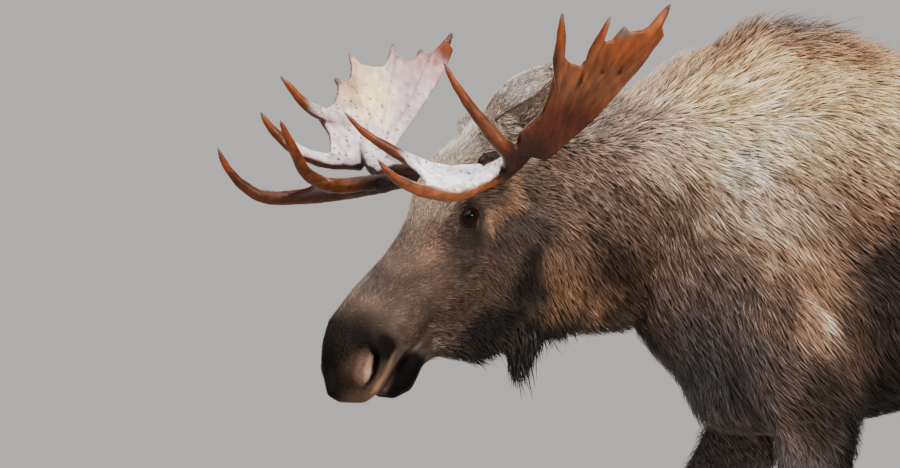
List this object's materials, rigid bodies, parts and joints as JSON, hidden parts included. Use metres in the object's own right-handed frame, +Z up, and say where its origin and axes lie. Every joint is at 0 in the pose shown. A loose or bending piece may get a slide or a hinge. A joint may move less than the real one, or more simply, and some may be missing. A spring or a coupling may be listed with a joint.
{
  "type": "bull moose",
  "caption": "Life-size standing bull moose with its head held low and turned a little to its left, with palmate antlers, a bell under the throat and cloven hooves; a still museum-type model",
  "frame": {"origin": "middle of the whole animal's box, on the floor", "axes": "+Z up, -Y the way the animal faces, +X its own left"},
  "size_m": [1.2456, 2.6652, 1.9404],
  "materials": {
    "coat_brown": "coarse brown coat of a bull moose, matt",
    "coat_black": "near-black coat of the jaw and bell",
    "coat_grey": "pale grey short hair of the ears",
    "coat_slate": "slate-grey coat of the legs",
    "antler": "hard bare antler bone, rust brown outside, pale inside",
    "hoof": "black hoof horn, half gloss",
    "eye": "wet dark brown eye"
  },
  "bodies": {
    "root": {"head": "coat_brown", "lower_jaw": "coat_black", "bell": "coat_black", "neck": "coat_brown", "trunk": "coat_brown", "tail": "coat_brown", "ear_left": "coat_grey", "ear_right": "coat_grey", "foreleg_left": "coat_slate", "foreleg_right": "coat_slate", "hindleg_left": "coat_slate", "hindleg_right": "coat_slate", "antler_left_beam": "antler", "antler_left_brow": "antler", "antler_left_palm": "antler", "antler_right_beam": "antler", "antler_right_brow": "antler", "antler_right_palm": "antler", "eye_left": "eye", "eye_right": "eye", "toe_foreleg_left_left": "hoof", "toe_foreleg_left_right": "hoof", "dewclaw_foreleg_left_left": "hoof", "dewclaw_foreleg_left_right": "hoof", "toe_foreleg_right_left": "hoof", "toe_foreleg_right_right": "hoof", "dewclaw_foreleg_right_left": "hoof", "dewclaw_foreleg_right_right": "hoof", "toe_hindleg_left_left": "hoof", "toe_hindleg_left_right": "hoof", "dewclaw_hindleg_left_left": "hoof", "dewclaw_hindleg_left_right": "hoof", "toe_hindleg_right_left": "hoof", "toe_hindleg_right_right": "hoof", "dewclaw_hindleg_right_left": "hoof", "dewclaw_hindleg_right_right": "hoof"}
  },
  "joints": []
}
